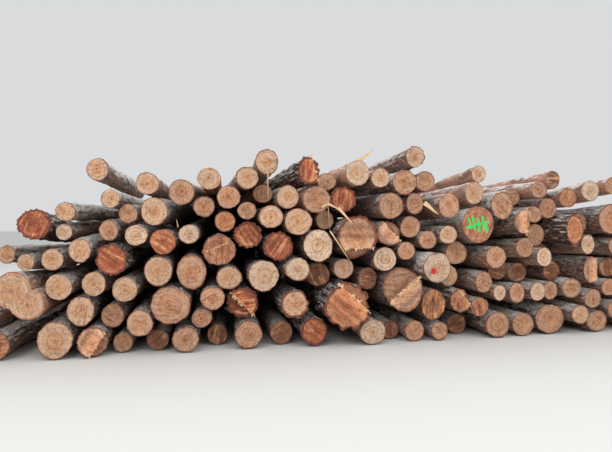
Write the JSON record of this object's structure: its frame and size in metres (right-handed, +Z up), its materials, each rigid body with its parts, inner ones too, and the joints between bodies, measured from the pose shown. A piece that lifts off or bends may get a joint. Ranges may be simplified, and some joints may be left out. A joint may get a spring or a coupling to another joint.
{
  "type": "stack of logs",
  "caption": "Long roadside pile of pine logs cut to one length, with sawn ends in line and rough bark, for a log yard or forest track.",
  "frame": {"origin": "middle of the pile's base, on the ground", "axes": "+X along the pile to the right as seen from its front, +Y into the pile along the logs, +Z up"},
  "size_m": [6.8882, 2.8836, 1.7198],
  "materials": {
    "pine_log": "rough bark with sawn ends",
    "tag_plastic": "matt red"
  },
  "bodies": {
    "root": {"bay_1_ground_logs": "pine_log", "bay_1_low_logs": "pine_log", "bay_1_middle_logs": "pine_log", "bay_1_upper_logs": "pine_log", "bay_2_ground_logs": "pine_log", "bay_2_low_logs": "pine_log", "bay_2_middle_logs": "pine_log", "bay_2_top_logs": "pine_log", "bay_2_upper_logs": "pine_log", "bay_3_ground_logs": "pine_log", "bay_3_low_logs": "pine_log", "bay_3_middle_logs": "pine_log", "bay_3_top_logs": "pine_log", "bay_3_upper_logs": "pine_log", "bay_4_ground_logs": "pine_log", "bay_4_middle_logs": "pine_log", "bay_4_top_logs": "pine_log", "bay_4_upper_logs": "pine_log", "bay_5_ground_logs": "pine_log", "bay_5_low_logs": "pine_log", "bay_5_middle_logs": "pine_log", "bay_5_top_logs": "pine_log", "bay_5_upper_logs": "pine_log", "bay_6_ground_logs": "pine_log", "bay_6_low_logs": "pine_log", "bay_6_middle_logs": "pine_log", "bay_6_top_logs": "pine_log", "bay_6_upper_logs": "pine_log", "felled_butt_1": "pine_log", "felled_butt_10": "pine_log", "felled_butt_2": "pine_log", "felled_butt_3": "pine_log", "felled_butt_4": "pine_log", "felled_butt_5": "pine_log", "felled_butt_6": "pine_log", "felled_butt_7": "pine_log", "felled_butt_8": "pine_log", "felled_butt_9": "pine_log", "forked_log": "pine_log", "furrowed_butt": "pine_log", "left_end_logs": "pine_log", "log_tag": "tag_plastic", "painted_log": "pine_log", "right_end_ground_logs": "pine_log", "right_end_low_logs": "pine_log", "right_end_middle_logs": "pine_log", "right_end_upper_logs": "pine_log", "tagged_log": "pine_log"}
  },
  "joints": []
}
